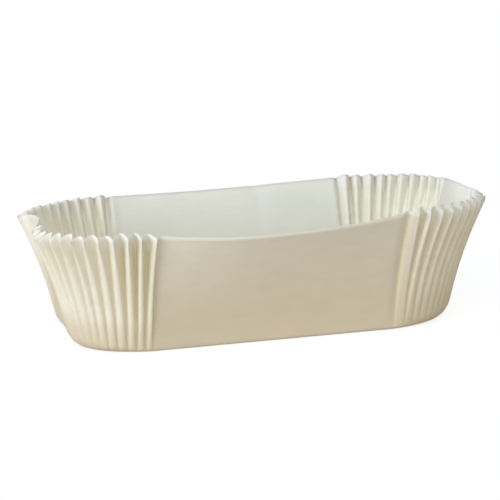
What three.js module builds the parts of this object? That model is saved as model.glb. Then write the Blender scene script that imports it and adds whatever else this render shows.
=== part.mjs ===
// A paper liner for a loaf tin: one sheet of greaseproof paper pressed into a tray.
// The floor, the two long sides and the middle of each short end are plain.
// The four corners are pleated, and the pleats deepen from the floor to the rim.
// Millimetres, +Z up, the long side along X. The origin is on the underside of the floor, at its middle.
import * as THREE from 'three';

// Outline of the rim over the pleats' ridges, and the height of the wall.
const rimLength = 229;
const rimWidth = 113;
const rimHeight = 60;
const rimRise = 4.4; // how much higher the wall is at the right end than at the left
// Outline where the walls, drawn straight down, would meet the floor.
const baseLength = 191;
const baseWidth = 71;
// Plain panels between the pleated corners.
const sidePanelLength = 119.5;
const endPanelWidth = 30;
// Rounding between floor and wall, at the long sides and at the short ends.
const sideFoldRadius = 2.5;
const endFoldRadius = 15;
// Corner pleats: how many in each corner, and how deep they are at the rim.
const pleatsPerCorner = 12;
const pleatDepth = 5.2;
// How far each wall bows at the rim: outwards is positive, inwards negative. A side bows over its plain
// panel. An end bows over a longer stretch, and takes the nearest pleats with it.
const frontBow = 5.7;
const backBow = 2.5;
const leftEndBow = -6;
const rightEndBow = -7;
const endBowWidth = 60;
const paperThickness = 0.3;

// Shares of the form, none of them a size.
const flareShare = 0.48; // how much more than its mean slope the wall leans at the rim
const evenPleats = 0.35; // 0 spaces the pleats by angle, 1 by distance
const groovePower = 1.1; // 1 makes sharp ridges and round grooves, 2 makes both alike
const panelSet = 0.4; // how far a plain panel is set in from the ridges, in pleat depths
const pleatGrowth = 0.65; // 1 deepens the pleats in proportion to height, and less starts them sooner
const bowGrowth = 1.6; // a bow grows faster than height, because the fold holds the foot of the wall
const sideBowPower = 1; // a side bows in one even curve
const endBowPower = 2; // an end bows softly into the pleats

// Fineness of the mesh.
const segmentsPerPleat = 6;
const sidePanelSegments = 10;
const endPanelSegments = 8;
const foldSegments = 3;
const wallSegments = 4;
const turnSamples = 400;

const quarterTurn = Math.PI / 2;
const halfSide = sidePanelLength / 2;
const halfEnd = endPanelWidth / 2;
const { lerp } = THREE.MathUtils;

// The corner x > 0, y < 0 of an outline, from the front panel's edge to the right end panel's edge.
// turn is the angle of a quarter ellipse.
function cornerPoint(length, width, turn) {
  return new THREE.Vector2(
    halfSide + (length / 2 - halfSide) * Math.sin(turn),
    -halfEnd - (width / 2 - halfEnd) * Math.cos(turn),
  );
}

function rimCorner(turn) {
  return cornerPoint(rimLength, rimWidth, turn);
}

function baseCorner(turn) {
  return cornerPoint(baseLength, baseWidth, turn);
}

// The direction that the wall faces in the corner, square to the rim.
function cornerFacing(turn) {
  const reachX = rimLength / 2 - halfSide;
  const reachY = rimWidth / 2 - halfEnd;
  return new THREE.Vector2(reachY * Math.sin(turn), -reachX * Math.cos(turn)).normalize();
}

// The angle at each step of the corner: a blend of equal angles and equal distances along the rim.
function cornerTurns() {
  const travelled = [0];
  for (let i = 1; i <= turnSamples; i++) {
    const from = rimCorner(((i - 1) / turnSamples) * quarterTurn);
    const to = rimCorner((i / turnSamples) * quarterTurn);
    travelled.push(travelled[i - 1] + from.distanceTo(to));
  }
  const whole = travelled[turnSamples];
  const steps = pleatsPerCorner * segmentsPerPleat;
  return Array.from({ length: steps + 1 }, (_, k) => {
    const byAngle = k / steps;
    const passed = travelled.findIndex((d) => d >= byAngle * whole * (1 - 1e-9));
    return lerp(byAngle, passed / turnSamples, evenPleats) * quarterTurn;
  });
}

// How deep the wall lies at a count of pleats round the corner: 0 on a ridge, 1 in the middle of a groove.
// The ridges stand at the half counts, and from the first and the last the wall goes over into a panel.
function grooveAt(pleats) {
  const fromPanel = Math.min(pleats, pleatsPerCorner - pleats);
  if (fromPanel < 0.5) return panelSet * (1 + Math.cos(2 * Math.PI * fromPanel)) / 2;
  return Math.abs(Math.cos(Math.PI * pleats)) ** groovePower;
}

// A station is one upright section of the wall. It holds its points on the base and rim outlines,
// the way it faces, its endness (0 at a long side, 1 at a short end) and its groove.
function cornerStations() {
  return cornerTurns().map((turn, k) => ({
    base: baseCorner(turn),
    rim: rimCorner(turn),
    facing: cornerFacing(turn),
    endness: turn / quarterTurn,
    groove: grooveAt(k / segmentsPerPleat),
  }));
}

// The stations between a plain panel's two edges.
function panelStations(facing, halfWidth, baseSpan, rimSpan, endness, segments) {
  const along = new THREE.Vector2(-facing.y, facing.x);
  return Array.from({ length: segments - 1 }, (_, k) => {
    const across = (2 * (k + 1)) / segments - 1;
    const edge = along.clone().multiplyScalar(across * halfWidth);
    return {
      base: edge.clone().addScaledVector(facing, baseSpan / 2),
      rim: edge.clone().addScaledVector(facing, rimSpan / 2),
      facing,
      endness,
      groove: panelSet,
    };
  });
}

function sideStations(facing) {
  return panelStations(facing, halfSide, baseWidth, rimWidth, 0, sidePanelSegments);
}

function endStations(facing) {
  return panelStations(facing, halfEnd, baseLength, rimLength, 1, endPanelSegments);
}

// The corner's stations in another quadrant, still in order round the liner.
function mirrored(stations, signX, signY) {
  const flip = (p) => new THREE.Vector2(p.x * signX, p.y * signY);
  const made = stations.map((s) => ({ ...s, base: flip(s.base), rim: flip(s.rim), facing: flip(s.facing) }));
  return signX * signY < 0 ? made.reverse() : made;
}

// Once round the liner, anticlockwise from above.
function allStations() {
  const corner = cornerStations();
  return [
    ...sideStations(new THREE.Vector2(0, -1)),
    ...corner,
    ...endStations(new THREE.Vector2(1, 0)),
    ...mirrored(corner, 1, -1),
    ...sideStations(new THREE.Vector2(0, 1)),
    ...mirrored(corner, -1, -1),
    ...endStations(new THREE.Vector2(-1, 0)),
    ...mirrored(corner, -1, 1),
  ];
}

// A swelling of a wall, full in its middle and gone at half a width from it. A higher power makes it
// narrower, with a softer start.
function swell(fromMiddle, width, depth, power) {
  const away = Math.min(1, Math.abs(fromMiddle) / (width / 2));
  return depth * (1 - away ** 2) ** power;
}

// How far the wall bows at the rim of one station.
function bowAt({ rim }) {
  return swell(rim.x, sidePanelLength, rim.y < 0 ? frontBow : backBow, sideBowPower)
    + swell(rim.y, endBowWidth, rim.x < 0 ? leftEndBow : rightEndBow, endBowPower);
}

// How far the wall has gone from the base outline to the rim outline at a share of its height.
function reachAt(share) {
  return share - flareShare * share * (1 - share);
}

// The wall's mean slope in plan for each millimetre of height.
function meanSlope(s) {
  return s.base.distanceTo(s.rim) / rimHeight;
}

// A point on the outside of the wall. Where a ridge or a bow makes the wall lean further out, the paper
// reaches less high, and where a groove makes it steeper, the paper reaches higher.
function wallPoint(s, share) {
  const depth = pleatDepth * share ** pleatGrowth;
  const out = bowAt(s) * share ** bowGrowth - depth * s.groove;
  const slope = meanSlope(s) * (1 - flareShare * (1 - 2 * share));
  const plan = s.base.clone().lerp(s.rim, reachAt(share)).addScaledVector(s.facing, out);
  const height = rimHeight + rimRise * (s.rim.x / rimLength);
  return new THREE.Vector3(plan.x, plan.y, height * share - slope * (out + depth / 2));
}

// The outside of one station from the flat floor, round the fold and up the wall to the rim.
function sectionPoints(s) {
  const radius = lerp(sideFoldRadius, endFoldRadius, s.endness);
  const leanAtFoot = Math.atan(meanSlope(s) * (1 - flareShare));
  const tangent = radius * Math.tan((quarterTurn - leanAtFoot) / 2);
  const onFloor = s.base.clone().addScaledVector(s.facing, -tangent);
  const foldShare = (tangent * Math.cos(leanAtFoot)) / rimHeight;
  const fold = new THREE.QuadraticBezierCurve3(
    new THREE.Vector3(onFloor.x, onFloor.y, 0),
    new THREE.Vector3(s.base.x, s.base.y, 0),
    wallPoint(s, foldShare),
  );
  const points = fold.getPoints(foldSegments);
  for (let k = 1; k <= wallSegments; k++) {
    points.push(wallPoint(s, lerp(foldShare, 1, k / wallSegments)));
  }
  return points;
}

// The same grid of points moved inwards by the paper's thickness, square to the surface.
function insideOf(sections) {
  const count = sections.length;
  const rimRow = sections[0].length - 1;
  return sections.map((section, i) => section.map((point, j) => {
    if (j === 0) return point.clone().setZ(point.z + paperThickness);
    const before = sections[(i + count - 1) % count][j];
    const after = sections[(i + 1) % count][j];
    const round = after.clone().sub(before);
    const up = section[Math.min(j + 1, rimRow)].clone().sub(section[j - 1]);
    const outward = round.cross(up).normalize();
    return point.clone().addScaledVector(outward, -paperThickness);
  }));
}

// The closed skin of the paper: both faces of the wall, the rim's edge and both faces of the floor.
function paperGeometry(outside, inside) {
  const count = outside.length;
  const rows = outside[0].length;
  const positions = [...outside.flat(), ...inside.flat()].flatMap((p) => p.toArray());
  const outer = (i, j) => (i % count) * rows + j;
  const inner = (i, j) => count * rows + outer(i, j);
  const faces = [];
  const quad = (a, b, c, d) => faces.push(a, b, c, a, c, d);
  for (let i = 0; i < count; i++) {
    for (let j = 0; j + 1 < rows; j++) {
      quad(outer(i, j), outer(i + 1, j), outer(i + 1, j + 1), outer(i, j + 1));
      quad(inner(i, j), inner(i, j + 1), inner(i + 1, j + 1), inner(i + 1, j));
    }
    quad(outer(i, rows - 1), outer(i + 1, rows - 1), inner(i + 1, rows - 1), inner(i, rows - 1));
  }
  const floorEdge = outside.map((section) => new THREE.Vector2(section[0].x, section[0].y));
  for (const [a, b, c] of THREE.ShapeUtils.triangulateShape(floorEdge, [])) {
    faces.push(outer(a, 0), outer(c, 0), outer(b, 0));
    faces.push(inner(a, 0), inner(b, 0), inner(c, 0));
  }
  const geometry = new THREE.BufferGeometry();
  geometry.setAttribute('position', new THREE.Float32BufferAttribute(positions, 3));
  geometry.setIndex(faces);
  geometry.computeVertexNormals();
  return geometry;
}

const paper = new THREE.MeshStandardMaterial({ color: 0xf0ecde, roughness: 0.85, metalness: 0 });

function linerMesh() {
  const outside = allStations().map(sectionPoints);
  const mesh = new THREE.Mesh(paperGeometry(outside, insideOf(outside)), paper);
  mesh.name = 'liner';
  return mesh;
}

const liner = new THREE.Group();
liner.name = 'loaf_tin_liner';
liner.add(linerMesh());

export default liner;
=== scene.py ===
"""A paper liner for a loaf tin, on a pale floor in soft light. Metres, +Z up, the long side along X.

The liner is one sheet of greaseproof paper pressed into a tray. It is made here as one dense closed mesh,
with the uneven pleats, soft bows and slight waves of real paper, and it stands for the plain CAD solid.
"""
import math
from typing import NamedTuple

import bpy
import numpy as np
from mathutils import Matrix, Vector

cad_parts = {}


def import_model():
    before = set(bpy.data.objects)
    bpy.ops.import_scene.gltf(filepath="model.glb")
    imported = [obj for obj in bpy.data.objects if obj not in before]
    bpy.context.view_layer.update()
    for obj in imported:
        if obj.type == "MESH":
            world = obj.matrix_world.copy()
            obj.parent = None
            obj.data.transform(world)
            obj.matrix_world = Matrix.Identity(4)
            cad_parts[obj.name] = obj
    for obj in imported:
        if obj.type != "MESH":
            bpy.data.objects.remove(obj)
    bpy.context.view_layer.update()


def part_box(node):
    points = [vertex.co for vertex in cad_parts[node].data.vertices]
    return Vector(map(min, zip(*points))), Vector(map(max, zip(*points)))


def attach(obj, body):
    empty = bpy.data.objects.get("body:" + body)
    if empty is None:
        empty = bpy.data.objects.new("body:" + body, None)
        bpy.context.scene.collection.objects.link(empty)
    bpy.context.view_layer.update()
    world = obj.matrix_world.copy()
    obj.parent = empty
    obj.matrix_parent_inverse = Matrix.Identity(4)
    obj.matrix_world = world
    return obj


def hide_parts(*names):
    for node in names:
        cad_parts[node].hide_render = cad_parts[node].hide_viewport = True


MM = 0.001
QUARTER = math.pi / 2

# Outlines of the sheet. The rim is drawn over the pleats' ridges, and the finished sheet is fitted to the
# CAD box.
RIM_WIDTH = 113 * MM
RIM_LENGTH = 229 * MM
WALL_HEIGHT = 60 * MM
RIM_RISE = 4.4 * MM  # how much higher the wall is at the right end than at the left
BASE_LENGTH = 191 * MM
BASE_WIDTH = 71 * MM
SIDE_PANEL = 119.5 * MM
END_PANEL = 30 * MM
PAPER = 0.3 * MM

# Section of the wall: how much more than its mean slope it leans at the rim, and its rounding at the foot.
FLARE = 0.48
SIDE_FOLD = 2.5 * MM
END_FOLD = 15 * MM

# Pleats, each with its own lean, depth and height at the rim.
PLEATS = 12
PLEAT_DEPTH = 5.2 * MM
PLEAT_PITCH = 7 * MM  # about how far apart the ridges near a side panel are at the rim
EVEN_PLEATS = 0.35  # 0 spaces the pleats by angle, 1 by distance
GROOVE_LEAN = 0.10
SHALLOWEST, DEEPEST = 0.84, 1.12
RIDGE_RISE = 0.35 * MM

# Shape of the pleats on the way up. A power of the height below 1 starts a change near the foot, and a high
# one keeps it near the rim.
RIM_GROOVE_POWER = 0.6  # sharp ridges and round grooves at the rim
FOOT_GROOVE_POWER = 3.6  # round ridges and narrow grooves lower down
SHARPENING_POWER = 4
END_LESSENING = 0.94  # how much shallower the pleats near an end panel are, below the rim
LESSENING_POWER = 5
LESSENING_REACH = 0.7  # a power of the way round the corner: below 1, more pleats are made shallower

# Plain panels: how far they are set in from the ridges, in pleat depths, and how this grows with height.
PANEL_SET = 0.4
PANEL_GROWTH = 0.65

# A soft crease beside a first ridge that stands further than this from the side panel, in pleats: its depth
# in pleat depths for each further pleat, and its half width.
CREASE_FROM = 0.25
CREASE = 0.45
CREASE_WIDTH = 1.8 * MM

# Bows of the walls at the rim: outwards is positive.
FRONT_BOW = 5.7 * MM
BACK_BOW = 2.5 * MM
LEFT_BOW = -6 * MM
RIGHT_BOW = -7 * MM
END_BOW_WIDTH = 60 * MM
BOW_GROWTH = 1.6

# Slight waves of the paper: how many go round the liner, their phase, their tilt and their size at the rim.
WAVES = ((3, 0.4, 1.2, 0.35 * MM), (7, 2.1, -0.8, 0.22 * MM), (13, 4.0, 2.0, 0.12 * MM))
WAVE_GROWTH = 1.2

# A soft upright crease in the back panel.
BACK_CREASE_PLACE = 18 * MM
BACK_CREASE_WIDTH = 5 * MM
BACK_CREASE_DEPTH = 0.8 * MM
BACK_CREASE_GROWTH = 3

SEED = 11  # of the pleats' own leans, depths and heights

# Fineness of the mesh.
COLUMNS_PER_PLEAT = 18
SIDE_COLUMNS = 90
END_COLUMNS = 26
FOLD_ROWS = 5
WALL_ROWS = 28
FLOOR_RINGS = 6
FLOOR_RING_POWER = 0.7  # below 1, the floor's rings lie closer together near the fold
TURN_SAMPLES = 2001

# Tones of the paper, most of them painted light and shade.
# Painted shade towards the foot, darker and warmer, and painted light towards the top, paler.
FOOT_PAINTED_SHADE = (0.80, 0.73, 0.615, 1)
TOP_PAINTED_LIGHT = (0.95, 0.945, 0.91, 1)
# Painted light: the inside is paler and cooler, as if lit by the cool light from above.
INNER_PAINTED_LIGHT = (0.845, 0.895, 0.865, 1)
# Painted light: the pleats are paler than the plain panels.
PLEAT_PAINTED_LIGHT = (0.965, 0.965, 0.89, 1)
# Painted shade: the grooves are darker and warmer.
GROOVE_PAINTED_SHADE = (0.89, 0.82, 0.57, 1)
# Painted light: the paper is paler near the rim.
RIM_PAINTED_LIGHT = (0.95, 0.96, 0.95, 1)
THROUGH_TONE = (0.86, 0.79, 0.62, 1)
# How much of the painted light shows inside and at the rim.
INNER_LIGHT_SHARE = 0.8
RIM_LIGHT_SHARE = 0.7
THROUGH_SHARE = 0.4  # how much of the light goes through
INNER_GROOVE_SHADE = 0.12  # how much of the grooves' painted shade shows inside
END_SHADE_FADE = 0.9  # how much less of the grooves' painted shade shows near an end panel
GROOVE_SHADE_HEIGHT = 0.25  # the share of the height where the grooves' painted shade is full
LOWEST_SHARE = 0.01  # the lowest share of the height at which a groove is looked up

# Bands over which the painted light and shade change: shares of the wall's height, and of a groove's depth.
FOOT_BAND = (0.1, 1.0)
RIM_BAND = (0.80, 1.0)
PLEAT_LIGHT_BAND = (0.0, 0.3)
GROOVE_BAND = (0.15, 0.9)

# Mottling: how dark and how light it makes the paper, over the noise's usual range.
MOTTLE = (0.965, 1.035)
NOISE_RANGE = (0.3, 0.7)
GRAIN = (0.35, 0.35, 1.0)  # makes its clouds wider than they are high

# Fibres: the range of roughness that they give, and how high they stand.
ROUGHNESS = (0.5, 0.7)
FIBRE_HEIGHT = 0.2 * MM

# Lights: azimuth left of the front and elevation in degrees, size in metres, power in watts, colour.
LAMP_DISTANCE = 1.6
KEY = (66, 13, 1.0, 19.6, (0.885, 0.94, 1.0))
FRONT = (12, 38, 0.9, 9.8, (1.0, 0.99, 0.97))
LAMP_TARGET = Vector((0, 0, 30)) * MM
WORLD_COLOUR = (0.86, 0.94, 1.0, 1)
WORLD_STRENGTH = 0.46
WHITE = (1, 1, 1, 1)

# Floor. Near the liner it glows a little less than white and takes its shadow, and further off it is white.
FLOOR_HALF = 3.0
FLOOR_DROP = 0.4 * MM  # how far below the paper it lies, so that the two don't touch
FLOOR_BOUNCE = (0.62, 0.48, 0.33, 1)
FLOOR_PALE = (0.9, 0.9, 0.9, 1)
FLOOR_GLOW = 1.14
GLOW_SHARE = 0.75
SHADOW_REACH, WHITE_FROM = 0.13, 0.26

# Camera, by its place round the aim, in degrees and metres, and its lens for a picture of 500 pixels.
CAMERA_AZIMUTH, CAMERA_ELEVATION, CAMERA_ROLL = 16.24, 12.17, 0.805
CAMERA_DISTANCE = 0.740
CAMERA_AIM = Vector((-1.82, 0, 37.17)) * MM
SENSOR_WIDTH = 36
FOCAL_PIXELS = 1500
PICTURE_PIXELS = 500


class Corner(NamedTuple):
    """How one corner is pleated. Places are counted in pleats from the side panel."""

    ridges: tuple  # where the ridges stand
    growth: float  # how the pleats deepen: a low power starts them near the foot, a high one near the rim
    fade: float  # over how many pleats the set-in of the side panel fades out
    pleat_light: float  # how much painted light makes the pleats paler than the panels


FRONT_LEFT = Corner(
    (0.24, 1.22, 2.10, 3.10, 4.11, 5.17, 6.11, 7.13, 8.08, 9.0, 10.0, 10.9, 11.7),
    growth=0.65, fade=0.24, pleat_light=1.0,
)
FRONT_RIGHT = Corner(
    (0.83, 1.68, 2.70, 3.68, 4.58, 5.6, 6.55, 7.6, 8.55, 9.6, 10.6, 11.5),
    growth=1.3, fade=1.5, pleat_light=0.5,
)
BACK_RIGHT = Corner(
    (0.4, 1.5, 2.45, 3.55, 4.5, 5.4, 6.5, 7.5, 8.4, 9.5, 10.6, 11.5),
    growth=0.65, fade=0.45, pleat_light=1.0,
)
BACK_LEFT = Corner(
    (0.5, 1.4, 2.5, 3.5, 4.6, 5.5, 6.4, 7.5, 8.6, 9.5, 10.5, 11.5),
    growth=1.3, fade=0.45, pleat_light=1.0,
)


def lerp(a, b, t):
    return a + (b - a) * t


def corner_outline(length, width, turn):
    """The front right corner of an outline, from the front panel to the right end panel."""
    reach_x = length / 2 - SIDE_PANEL / 2
    reach_y = width / 2 - END_PANEL / 2
    x = SIDE_PANEL / 2 + reach_x * np.sin(turn)
    y = -END_PANEL / 2 - reach_y * np.cos(turn)
    return np.stack([x, y], axis=-1)


def corner_facing(turn):
    """The direction that the corner's wall faces, square to the rim."""
    reach_x = RIM_LENGTH / 2 - SIDE_PANEL / 2
    reach_y = RIM_WIDTH / 2 - END_PANEL / 2
    facing = np.stack([reach_y * np.sin(turn), -reach_x * np.cos(turn)], axis=-1)
    return facing / np.linalg.norm(facing, axis=-1, keepdims=True)


def corner_turns(pleats):
    """The angle at each count of pleats: a blend of equal angles and equal distances along the rim."""
    fine = np.linspace(0, QUARTER, TURN_SAMPLES)
    rim = corner_outline(RIM_LENGTH, RIM_WIDTH, fine)
    travelled = np.concatenate([[0], np.cumsum(np.linalg.norm(np.diff(rim, axis=0), axis=1))])
    share = pleats / PLEATS
    by_distance = np.interp(share * travelled[-1], travelled, fine)
    return lerp(share * QUARTER, by_distance, EVEN_PLEATS)


def crease_beside(corner):
    """The depth of the crease between a side panel and a corner, in pleat depths."""
    return CREASE * max(0, corner.ridges[0] - CREASE_FROM)


def crease_shape(distance):
    """1 in a crease and nearly 0 beyond twice its half width."""
    return np.exp(-(distance / CREASE_WIDTH) ** 2)


def grooves(pleats, corner, rng):
    """Each groove's wave, 0 on a ridge and 1 in its middle, its own depth, and the set-in by the panels."""
    ridges = np.array(corner.ridges)
    gap = np.clip(np.searchsorted(ridges, pleats, side="right") - 1, 0, len(ridges) - 2)
    within = np.clip((pleats - ridges[gap]) / (ridges[gap + 1] - ridges[gap]), 0, 1)
    lean = rng.uniform(-GROOVE_LEAN, GROOVE_LEAN, len(ridges))[gap]
    depth = rng.uniform(SHALLOWEST, DEEPEST, len(ridges))[gap]
    within = within + lean * np.sin(math.pi * within) ** 2
    before = np.clip(1 - pleats / corner.fade, 0, 1)
    after = np.clip((pleats - ridges[-1]) / (PLEATS - ridges[-1]), 0, 1)
    panel = PANEL_SET * (1 - np.cos(math.pi * (before + after))) / 2
    panel = panel + crease_beside(corner) * crease_shape(pleats * PLEAT_PITCH)
    return {"wave": np.abs(np.sin(math.pi * within)), "depth": depth, "panel": panel}


def corner_columns(corner, rng):
    """One corner's columns, in the place of the front right corner.

    A column is one upright section of the wall. It holds its points on the base and rim outlines, the way it
    faces, its endness (0 at a side panel, 1 at an end panel), its own rise at the rim, and its groove.
    """
    count = PLEATS * COLUMNS_PER_PLEAT
    pleats = np.linspace(0, PLEATS, count + 1)
    turn = corner_turns(pleats)
    rise = np.interp(pleats, np.arange(PLEATS + 1), rng.uniform(-1, 1, PLEATS + 1)) * RIDGE_RISE
    from_panel = np.minimum(pleats, PLEATS - pleats)
    return {
        "base": corner_outline(BASE_LENGTH, BASE_WIDTH, turn),
        "rim": corner_outline(RIM_LENGTH, RIM_WIDTH, turn),
        "facing": corner_facing(turn),
        "endness": turn / QUARTER,
        "rise": rise,
        "growth": np.full(count + 1, corner.growth),
        # The pleats' share of painted light.
        "pleated": np.clip(from_panel / (2 * corner.fade), 0, 1) * corner.pleat_light,
        **grooves(pleats, corner, rng),
    }


def panel_columns(facing, half_width, base_span, rim_span, endness, count, creases=(0, 0)):
    """The columns between a plain panel's two edges, with the depth of the crease at each edge."""
    facing = np.array(facing, float)
    along = np.array([-facing[1], facing[0]])
    across = np.linspace(-1, 1, count + 1)[1:-1]
    edge = across[:, None] * half_width * along
    zero = np.zeros(len(across))
    crease = creases[0] * crease_shape((1 + across) * half_width)
    crease += creases[1] * crease_shape((1 - across) * half_width)
    return {
        "base": edge + facing * base_span / 2,
        "rim": edge + facing * rim_span / 2,
        "facing": np.repeat(facing[None], len(across), 0),
        "endness": zero + endness,
        "rise": zero,
        "growth": zero,
        "pleated": zero,
        "wave": zero,
        "depth": zero,
        "panel": PANEL_SET + crease,
    }


def side_columns(facing, corner_before, corner_after):
    creases = crease_beside(corner_before), crease_beside(corner_after)
    return panel_columns(facing, SIDE_PANEL / 2, BASE_WIDTH, RIM_WIDTH, 0, SIDE_COLUMNS, creases)


def end_columns(facing):
    return panel_columns(facing, END_PANEL / 2, BASE_LENGTH, RIM_LENGTH, 1, END_COLUMNS)


def mirrored(columns, sign_x, sign_y):
    """A corner's columns in another quadrant, still in order round the liner."""
    flip = np.array([sign_x, sign_y], float)
    made = dict(columns)
    for key in ("base", "rim", "facing"):
        made[key] = columns[key] * flip
    if sign_x * sign_y < 0:
        made = {key: value[::-1] for key, value in made.items()}
    return made


def all_columns():
    """Once round the liner, anticlockwise from above."""
    rng = np.random.default_rng(SEED)
    parts = [
        side_columns((0, -1), FRONT_LEFT, FRONT_RIGHT),
        corner_columns(FRONT_RIGHT, rng),
        end_columns((1, 0)),
        mirrored(corner_columns(BACK_RIGHT, rng), 1, -1),
        side_columns((0, 1), BACK_RIGHT, BACK_LEFT),
        mirrored(corner_columns(BACK_LEFT, rng), -1, -1),
        end_columns((-1, 0)),
        mirrored(corner_columns(FRONT_LEFT, rng), -1, 1),
    ]
    return {key: np.concatenate([p[key] for p in parts]) for key in parts[0]}


def swell(from_middle, width, power):
    """1 in the middle of a wall and 0 at half a width from it. A higher power starts it more softly."""
    away = np.minimum(1, np.abs(from_middle) / (width / 2))
    return (1 - away ** 2) ** power


def bow_of(columns):
    """How far each column bows at the rim. A side bows in one even curve, and an end softly."""
    x, y = columns["rim"].T
    side = swell(x, SIDE_PANEL, 1) * np.where(y < 0, FRONT_BOW, BACK_BOW)
    end = swell(y, END_BOW_WIDTH, 2) * np.where(x < 0, LEFT_BOW, RIGHT_BOW)
    return side + end


def back_crease(columns, share):
    """How far the crease in the back panel stands out."""
    x, y = columns["rim"].T
    near = np.exp(-((x - BACK_CREASE_PLACE) / BACK_CREASE_WIDTH) ** 2)
    return np.where(y > 0, BACK_CREASE_DEPTH, 0) * near * share ** BACK_CREASE_GROWTH


def waves(columns, share):
    """How far the slight waves of the paper move the wall."""
    x, y = columns["rim"].T
    angle = np.arctan2(y / RIM_WIDTH, x / RIM_LENGTH)
    total = 0
    for turns, phase, tilt, size in WAVES:
        total = total + size * np.sin(turns * angle + phase + tilt * share)
    return total * share ** WAVE_GROWTH


def groove_at(columns, share):
    """How deep the wall lies, in pleat depths. The ridges are round low down and sharp at the rim."""
    power = lerp(FOOT_GROOVE_POWER, RIM_GROOVE_POWER, share ** SHARPENING_POWER)
    near_end = columns["endness"] ** LESSENING_REACH
    lessened = 1 - END_LESSENING * near_end * (1 - share ** LESSENING_POWER)
    own = columns["wave"] ** power * columns["depth"] * lessened
    return own * share ** (columns["growth"] - PANEL_GROWTH) + columns["panel"]


def mean_slope(columns):
    """The wall's mean slope in plan for each metre of height."""
    return np.linalg.norm(columns["rim"] - columns["base"], axis=1) / WALL_HEIGHT


def wall_points(columns, share):
    """The outside of the wall at a share of its height, which is one number or one for each column.

    Where a ridge or a bow makes the wall lean further out, the paper reaches less high.
    """
    share = share + np.zeros(len(columns["endness"]))
    depth = PLEAT_DEPTH * share ** PANEL_GROWTH
    out = bow_of(columns) * share ** BOW_GROWTH - depth * groove_at(columns, share)
    out = out + waves(columns, share) + back_crease(columns, share)
    slope = mean_slope(columns) * (1 - FLARE * (1 - 2 * share))
    reach = share - FLARE * share * (1 - share)
    plan = lerp(columns["base"], columns["rim"], reach[:, None])
    plan = plan + columns["facing"] * out[:, None]
    height = WALL_HEIGHT + RIM_RISE * columns["rim"][:, 0] / RIM_LENGTH
    z = height * share - slope * (out + depth / 2) + columns["rise"] * share ** 2
    return np.column_stack([plan, z])


def sheet_rows(columns):
    """The outside of the whole sheet in rows: across the floor, round the fold and up to the rim."""
    radius = lerp(SIDE_FOLD, END_FOLD, columns["endness"])
    lean = np.arctan(mean_slope(columns) * (1 - FLARE))
    tangent = radius * np.tan((QUARTER - lean) / 2)
    on_floor = columns["base"] - columns["facing"] * tangent[:, None]
    fold_share = tangent * np.cos(lean) / WALL_HEIGHT
    level = np.zeros(len(on_floor))
    start = np.column_stack([on_floor, level])
    corner = np.column_stack([columns["base"], level])
    end = wall_points(columns, fold_share)
    rows = [start * (k / FLOOR_RINGS) ** FLOOR_RING_POWER for k in range(1, FLOOR_RINGS)]
    for k in range(FOLD_ROWS):
        t = k / FOLD_ROWS
        rows.append(start * (1 - t) ** 2 + corner * 2 * t * (1 - t) + end * t ** 2)
    for k in range(WALL_ROWS + 1):
        rows.append(wall_points(columns, lerp(fold_share, 1, k / WALL_ROWS)))
    return np.array(rows)


def inside_of(rows):
    """The same rows moved inwards by the paper's thickness, square to the surface."""
    round_ = np.roll(rows, -1, axis=1) - np.roll(rows, 1, axis=1)
    up = np.empty_like(rows)
    up[1:-1] = rows[2:] - rows[:-2]
    up[0] = rows[1] - rows[0]
    up[-1] = rows[-1] - rows[-2]
    outward = np.cross(round_, up)
    outward /= np.linalg.norm(outward, axis=-1, keepdims=True)
    return rows - outward * PAPER


def fitted(points, low, high):
    """The points scaled and moved so that their box is the CAD node's."""
    own_low, own_high = points.min(axis=0), points.max(axis=0)
    low, high = np.array(low), np.array(high)
    return low + (points - own_low) * (high - low) / (own_high - own_low)


def sheet_faces(row_count, count):
    """Quads over both skins and the cut edge at the rim, and a fan of triangles at each floor's hub."""
    here = np.arange(count)
    after = np.roll(here, -1)
    far = row_count * count
    quads = []
    for r in range(row_count - 1):
        low = r * count
        high = low + count
        quads.append(np.column_stack([low + here, low + after, high + after, high + here]))
        quads.append(far + np.column_stack([low + here, high + here, high + after, low + after]))
    top = (row_count - 1) * count
    quads.append(np.column_stack([top + here, top + after, far + top + after, far + top + here]))
    hub_out = 2 * far
    hub_in = hub_out + 1
    fans = [[hub_out, int(b), int(a)] for a, b in zip(here, after)]
    fans += [[hub_in, far + int(a), far + int(b)] for a, b in zip(here, after)]
    return np.concatenate(quads).tolist() + fans


def row_shares(row_count):
    """How far up the wall each row lies: 0 up to the top of the fold, and 1 at the rim."""
    below = row_count - WALL_ROWS - 1
    return np.concatenate([np.zeros(below), np.linspace(0, 1, WALL_ROWS + 1)])


def painted_groove_shade(columns, shares, inner):
    """How much of the grooves' painted shade each point takes, 0 to 1, seen from outside or from inside."""
    in_corner = columns["depth"] > 0
    lasting = 1 - END_SHADE_FADE * columns["endness"]
    rows = []
    for share in shares:
        depth = groove_at(columns, max(share, LOWEST_SHARE))
        seen = np.where(in_corner, INNER_GROOVE_SHADE * (1 - depth) if inner else depth, 0)
        rows.append(np.clip(seen, 0, 1) * min(1, share / GROOVE_SHADE_HEIGHT) * lasting)
    return np.array(rows).ravel()


def add_attribute(mesh, name, outer, inner, hubs=(0, 0)):
    """One number for each point: the outer skin's, the inner skin's and the two hubs'."""
    values = np.concatenate([outer, inner, hubs]).astype(np.float32)
    mesh.attributes.new(name, "FLOAT", "POINT").data.foreach_set("value", values)


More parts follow.
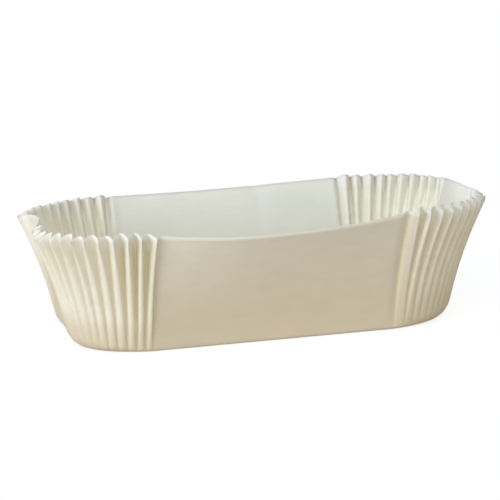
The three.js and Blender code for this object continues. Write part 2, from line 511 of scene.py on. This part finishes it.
def liner_mesh():
    """The closed skin of the sheet: its outside, its inside, and the cut edge at the rim."""
    columns = all_columns()
    outside = sheet_rows(columns)
    inside = inside_of(outside)
    row_count, count, _ = outside.shape
    hubs = [outside[0].mean(axis=0), inside[0].mean(axis=0)]
    points = np.concatenate([outside.reshape(-1, 3), inside.reshape(-1, 3), hubs])
    points = fitted(points, *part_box("liner"))
    mesh = bpy.data.meshes.new("paper_sheet")
    mesh.from_pydata(points.tolist(), [], sheet_faces(row_count, count))
    mesh.validate()
    mesh.shade_smooth()
    shares = row_shares(row_count)
    height = np.repeat(shares, count)
    pleated = np.tile(columns["pleated"], row_count)
    # These attributes place the painted shade in the grooves and at the foot, and the painted light in the
    # pleats, at the top, at the rim and inside.
    add_attribute(mesh, "groove", painted_groove_shade(columns, shares, False), painted_groove_shade(columns, shares, True))
    add_attribute(mesh, "height", height, height)
    add_attribute(mesh, "pleated", pleated, pleated)
    add_attribute(mesh, "inner", np.zeros_like(height), np.ones_like(height), (0, 1))
    return mesh


class Nodes:
    """Short calls for building a node tree."""

    def __init__(self, tree):
        self.tree = tree
        tree.nodes.clear()

    def add(self, kind, inputs=None, **settings):
        """One node, its settings, and its inputs by name or number: a value, or a socket to link."""
        node = self.tree.nodes.new(kind)
        for name, value in settings.items():
            setattr(node, name, value)
        for key, value in (inputs or {}).items():
            if isinstance(value, bpy.types.NodeSocket):
                self.tree.links.new(value, node.inputs[key])
            else:
                node.inputs[key].default_value = value
        return node

    def math(self, operation, a, b):
        return self.add("ShaderNodeMath", {0: a, 1: b}, operation=operation).outputs[0]

    def attribute(self, name):
        return self.add("ShaderNodeAttribute", attribute_name=name).outputs["Fac"]

    def spread(self, value, low, high, from_low=0.0, from_high=1.0):
        """A value that goes from one pair of ends over to another."""
        inputs = {"Value": value, "From Min": from_low, "From Max": from_high, "To Min": low, "To Max": high}
        return self.add("ShaderNodeMapRange", inputs).outputs["Result"]

    def smooth_step(self, value, low, high):
        """0 below low, 1 above high, and a soft step between."""
        inputs = {"Value": value, "From Min": low, "From Max": high}
        return self.add("ShaderNodeMapRange", inputs, interpolation_type="SMOOTHSTEP").outputs["Result"]

    def blend(self, share, colour_a, colour_b):
        """Between two colours, by a share. The node has its sockets for colours at these numbers."""
        first_colour, second_colour, result_colour = 6, 7, 2
        inputs = {"Factor": share, first_colour: colour_a, second_colour: colour_b}
        return self.add("ShaderNodeMix", inputs, data_type="RGBA").outputs[result_colour]

    def mix(self, share, shader_a, shader_b):
        """Between two shaders, by a share."""
        return self.add("ShaderNodeMixShader", {0: share, 1: shader_a, 2: shader_b}).outputs[0]

    def diffuse(self, colour):
        return self.add("ShaderNodeBsdfDiffuse", {"Color": colour}).outputs[0]

    def glow(self, colour, strength):
        return self.add("ShaderNodeEmission", {"Color": colour, "Strength": strength}).outputs[0]

    def background(self, colour, strength):
        return self.add("ShaderNodeBackground", {"Color": colour, "Strength": strength}).outputs[0]


def new_material(name):
    material = bpy.data.materials.new(name)
    material.use_nodes = True
    return material, Nodes(material.node_tree)


def paper_tone_and_painted_light(n, cloud):
    """Painted shade at the foot and in the grooves, painted light in the pleats, at the top, at the rim and
    inside, and the paper's own mottling.
    """
    height = n.attribute("height")
    near_rim = n.smooth_step(height, *RIM_BAND)
    in_groove = n.smooth_step(n.attribute("groove"), *GROOVE_BAND)
    # Painted shade in the grooves, fading out near the rim.
    groove_shade = n.math("MULTIPLY", in_groove, n.math("SUBTRACT", 1.0, near_rim))
    # Painted light on the pleats.
    painted_pleat_light = n.math("MULTIPLY", n.attribute("pleated"), n.smooth_step(height, *PLEAT_LIGHT_BAND))
    # Painted shade towards the foot and painted light towards the top.
    tone = n.blend(n.smooth_step(height, *FOOT_BAND), FOOT_PAINTED_SHADE, TOP_PAINTED_LIGHT)
    # Painted light on the inside skin.
    tone = n.blend(n.math("MULTIPLY", n.attribute("inner"), INNER_LIGHT_SHARE), tone, INNER_PAINTED_LIGHT)
    tone = n.blend(painted_pleat_light, tone, PLEAT_PAINTED_LIGHT)
    tone = n.blend(groove_shade, tone, GROOVE_PAINTED_SHADE)
    # Painted light near the rim.
    tone = n.blend(n.math("MULTIPLY", near_rim, RIM_LIGHT_SHARE), tone, RIM_PAINTED_LIGHT)
    mottle = n.spread(cloud, *MOTTLE, *NOISE_RANGE)
    return n.add("ShaderNodeVectorMath", {0: tone, "Scale": mottle}, operation="SCALE").outputs[0]


def paper_material():
    """Greaseproof paper: smooth, faintly mottled, with painted light and shade in its colour, and letting
    some warm light through.
    """
    material, n = new_material("greaseproof_paper")
    where = n.add("ShaderNodeTexCoord").outputs["Object"]
    grain = n.add("ShaderNodeVectorMath", {0: where, 1: GRAIN}, operation="MULTIPLY").outputs[0]
    cloud = n.add("ShaderNodeTexNoise", {"Vector": grain, "Scale": 260, "Detail": 5, "Roughness": 0.65})
    fibre = n.add("ShaderNodeTexNoise", {"Vector": where, "Scale": 900, "Detail": 3, "Roughness": 0.7})
    fibre_height = {"Height": fibre.outputs["Fac"], "Strength": 0.12, "Distance": FIBRE_HEIGHT}
    bump = n.add("ShaderNodeBump", fibre_height).outputs["Normal"]
    skin = n.add(
        "ShaderNodeBsdfPrincipled",
        {
            "Base Color": paper_tone_and_painted_light(n, cloud.outputs["Fac"]),
            "Roughness": n.spread(fibre.outputs["Fac"], *ROUGHNESS),
            "Specular IOR Level": 0.3,
            "Normal": bump,
        },
    )
    through = n.add("ShaderNodeBsdfTranslucent", {"Color": THROUGH_TONE, "Normal": bump})
    paper = n.mix(THROUGH_SHARE, skin.outputs[0], through.outputs[0])
    n.add("ShaderNodeOutputMaterial", {"Surface": paper})
    return material


def floor_material():
    """White to the camera, with the object's soft shadow, and warm to the light that it sends back."""
    material, n = new_material("pale_floor")
    path = n.add("ShaderNodeLightPath").outputs
    seen = n.math("MAXIMUM", path["Is Camera Ray"], path["Is Glossy Ray"])
    seen = n.math("MAXIMUM", seen, path["Is Transmission Ray"])
    where = n.add("ShaderNodeTexCoord").outputs["Object"]
    away = n.add("ShaderNodeVectorMath", {0: where}, operation="LENGTH").outputs["Value"]
    near = n.mix(GLOW_SHARE, n.diffuse(FLOOR_PALE), n.glow(WHITE, FLOOR_GLOW))
    white = n.mix(n.smooth_step(away, SHADOW_REACH, WHITE_FROM), near, n.glow(WHITE, 1.0))
    floor = n.mix(seen, n.diffuse(FLOOR_BOUNCE), white)
    n.add("ShaderNodeOutputMaterial", {"Surface": floor})
    return material


def add_object(name, data, material=None):
    made = bpy.data.objects.new(name, data)
    bpy.context.scene.collection.objects.link(made)
    if material:
        data.materials.append(material)
    return made


def add_floor():
    """A wide floor just under the paper."""
    half = FLOOR_HALF
    mesh = bpy.data.meshes.new("floor")
    corners = [(-half, -half, 0), (half, -half, 0), (half, half, 0), (-half, half, 0)]
    mesh.from_pydata(corners, [], [(0, 1, 2, 3)])
    floor = add_object("floor", mesh, floor_material())
    floor.location.z = -FLOOR_DROP


def set_world():
    """A plain soft light from all round, and white where the camera looks past the floor."""
    world = bpy.data.worlds.new("soft_light")
    bpy.context.scene.world = world
    world.use_nodes = True
    n = Nodes(world.node_tree)
    seen = n.add("ShaderNodeLightPath").outputs["Is Camera Ray"]
    light = n.mix(seen, n.background(WORLD_COLOUR, WORLD_STRENGTH), n.background(WHITE, 1.0))
    n.add("ShaderNodeOutputWorld", {"Surface": light})


def direction(azimuth, elevation):
    """Towards a place at an azimuth left of the front and an elevation, both in degrees."""
    a, e = math.radians(azimuth), math.radians(elevation)
    return Vector((-math.sin(a) * math.cos(e), -math.cos(a) * math.cos(e), math.sin(e)))


def add_lamp(name, azimuth, elevation, size, power, colour):
    """A round soft lamp, aimed at the middle of the liner."""
    lamp = bpy.data.lights.new(name, "AREA")
    lamp.shape = "DISK"
    lamp.size = size
    lamp.energy = power
    lamp.color = colour
    made = add_object(name, lamp)
    towards = direction(azimuth, elevation)
    made.location = LAMP_TARGET + towards * LAMP_DISTANCE
    made.rotation_euler = towards.to_track_quat("Z", "Y").to_euler()


def add_camera():
    """The camera, turned by its roll about the line of sight."""
    back = direction(CAMERA_AZIMUTH, CAMERA_ELEVATION)
    azimuth, roll = math.radians(CAMERA_AZIMUTH), math.radians(CAMERA_ROLL)
    right = Vector((math.cos(azimuth), -math.sin(azimuth), 0))
    up = back.cross(right)
    tilted_right = right * math.cos(roll) - up * math.sin(roll)
    tilted_up = right * math.sin(roll) + up * math.cos(roll)
    data = bpy.data.cameras.new("camera")
    data.sensor_width = SENSOR_WIDTH
    data.lens = FOCAL_PIXELS / PICTURE_PIXELS * SENSOR_WIDTH
    data.clip_start = 0.01
    camera = add_object("camera", data)
    turn = Matrix((tilted_right, tilted_up, back)).transposed().to_4x4()
    camera.matrix_world = Matrix.Translation(CAMERA_AIM + back * CAMERA_DISTANCE) @ turn
    bpy.context.scene.camera = camera


def add_liner():
    liner = add_object("paper_liner", liner_mesh(), paper_material())
    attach(liner, "root")
    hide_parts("liner")


def main():
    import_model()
    add_liner()
    add_floor()
    set_world()
    add_lamp("key", *KEY)
    add_lamp("front", *FRONT)
    add_camera()
    bpy.context.scene.view_settings.view_transform = "Standard"


main()
